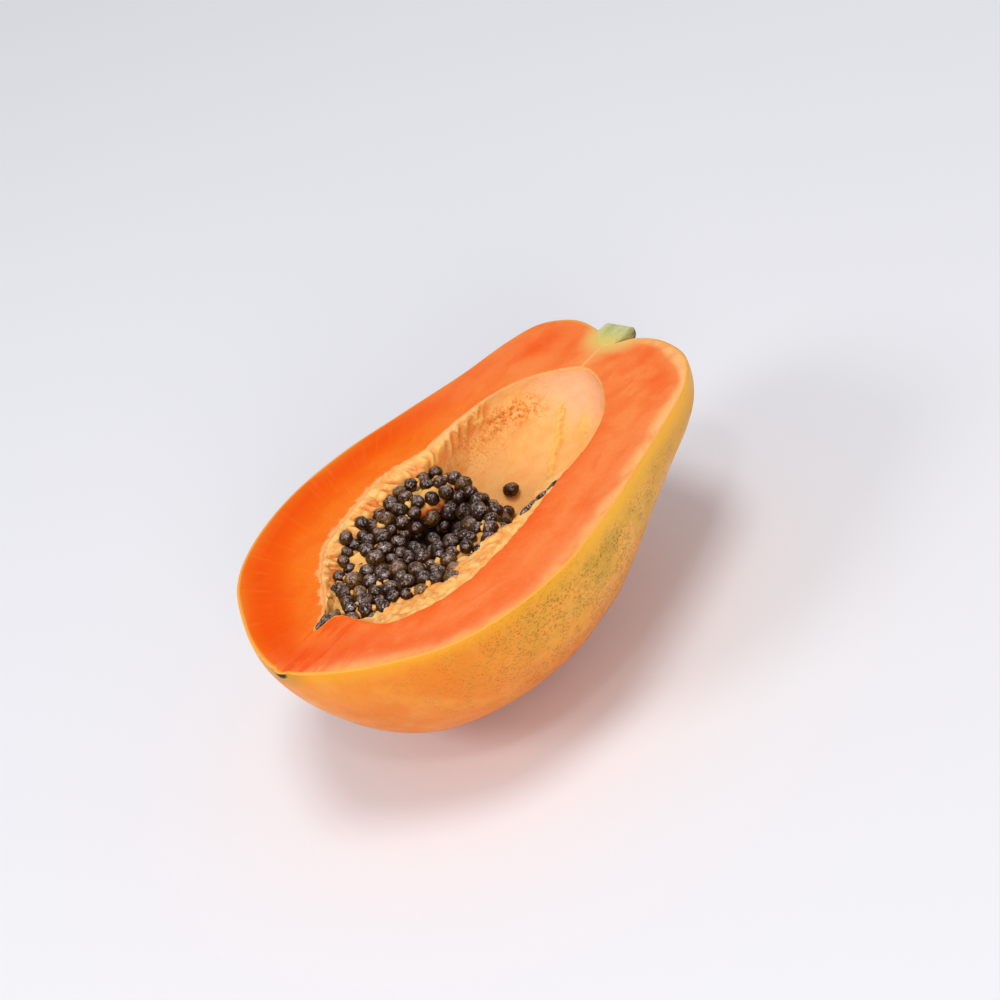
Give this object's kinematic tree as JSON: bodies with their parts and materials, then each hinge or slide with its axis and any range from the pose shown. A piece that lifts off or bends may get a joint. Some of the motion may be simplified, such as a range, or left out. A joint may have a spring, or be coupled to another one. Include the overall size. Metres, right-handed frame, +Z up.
{
  "type": "halved papaya",
  "caption": "Ripe papaya half, cut lengthwise, resting on its rind with its seed cavity open upwards.",
  "frame": {"origin": "middle of the bounding box's underside, on the surface that the half rests on", "axes": "+X from the blossom tip to the stalk, +Z up, square to the cut face"},
  "size_m": [0.2132, 0.141, 0.0769],
  "materials": {
    "flesh": "moist orange flesh on the cut, waxy yellow-orange rind outside",
    "seed": "wet, wrinkled, near black",
    "stalk": "dull fibrous green"
  },
  "bodies": {
    "root": {"fruit": "flesh", "seeds": "seed", "loose_seed_1": "seed", "loose_seed_2": "seed", "stem_stub": "stalk"}
  },
  "joints": []
}
